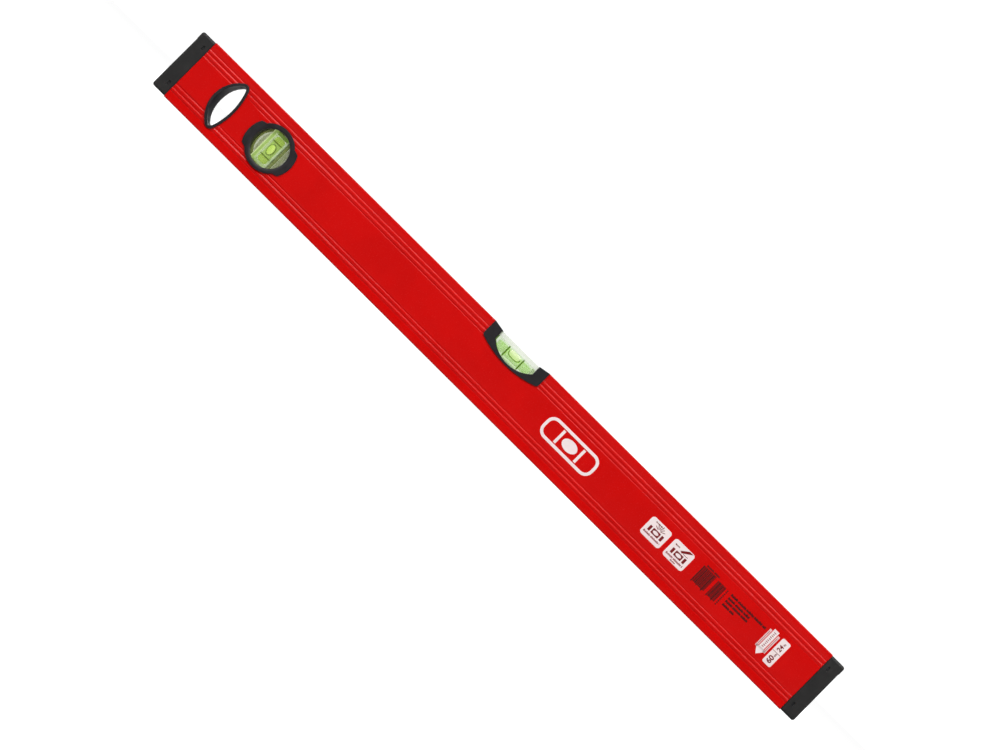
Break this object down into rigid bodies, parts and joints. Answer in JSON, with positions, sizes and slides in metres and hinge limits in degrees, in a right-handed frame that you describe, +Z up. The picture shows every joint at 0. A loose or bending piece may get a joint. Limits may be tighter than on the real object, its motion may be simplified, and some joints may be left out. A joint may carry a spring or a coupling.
{
  "type": "spirit level",
  "caption": "Box-section spirit level with a centre vial read from the top and sides, a plumb vial near one end, a lined hang hole and rubber end caps that pull off.",
  "frame": {"origin": "under the middle of the level's length and depth, on the working base it stands on", "axes": "+X along the length away from the hang hole end, +Y from the front face to the rear face, +Z up from the working base to the top edge that holds the centre vial"},
  "size_m": [0.6, 0.022, 0.05],
  "materials": {
    "red_paint": "satin powder coat on extruded aluminium",
    "trim_plastic": "fine moulded texture",
    "cap_rubber": "matt moulded rubber",
    "plug_plastic": "plain moulded",
    "clear_acrylic": "polished clear",
    "vial_liquid": "clear green liquid",
    "bubble_gas": "gas pocket",
    "reading_line": "opaque ring"
  },
  "bodies": {
    "level": {"rail": "red_paint", "hang_trim_front": "trim_plastic", "hang_trim_rear": "trim_plastic", "plumb_bezel_front": "trim_plastic", "plumb_bezel_rear": "trim_plastic", "plumb_lens_front": "clear_acrylic", "plumb_lens_rear": "clear_acrylic", "plumb_vial_block": "clear_acrylic", "plumb_vial_liquid": "vial_liquid", "plumb_vial_plug": "plug_plastic", "plumb_line_lower": "reading_line", "plumb_line_upper": "reading_line", "centre_housing_front": "trim_plastic", "centre_housing_rear": "trim_plastic", "centre_vial_block": "clear_acrylic", "centre_vial_liquid": "vial_liquid", "centre_vial_plug": "plug_plastic", "centre_line_left": "reading_line", "centre_line_right": "reading_line"},
    "centre_bubble": {"centre_bubble": "bubble_gas"},
    "plumb_bubble": {"plumb_bubble": "bubble_gas"},
    "left_cap": {"end_cap_left": "cap_rubber", "end_plug_left": "plug_plastic"},
    "right_cap": {"end_cap_right": "cap_rubber", "end_plug_right": "plug_plastic"}
  },
  "joints": [
    {"name": "centre_bubble_slide", "type": "slide", "parent": "level", "child": "centre_bubble", "axis": [1, 0, 0], "range_m": [-0.007, 0.007], "stiffness_N_per_m": 20},
    {"name": "plumb_bubble_slide", "type": "slide", "parent": "level", "child": "plumb_bubble", "axis": [0, 0, 1], "range_m": [-0.0048, 0.0048], "stiffness_N_per_m": 20},
    {"name": "left_cap_pull", "type": "slide", "parent": "level", "child": "left_cap", "axis": [-1, 0, 0], "range_m": [0, 0.024]},
    {"name": "right_cap_pull", "type": "slide", "parent": "level", "child": "right_cap", "axis": [1, 0, 0], "range_m": [0, 0.024]}
  ]
}
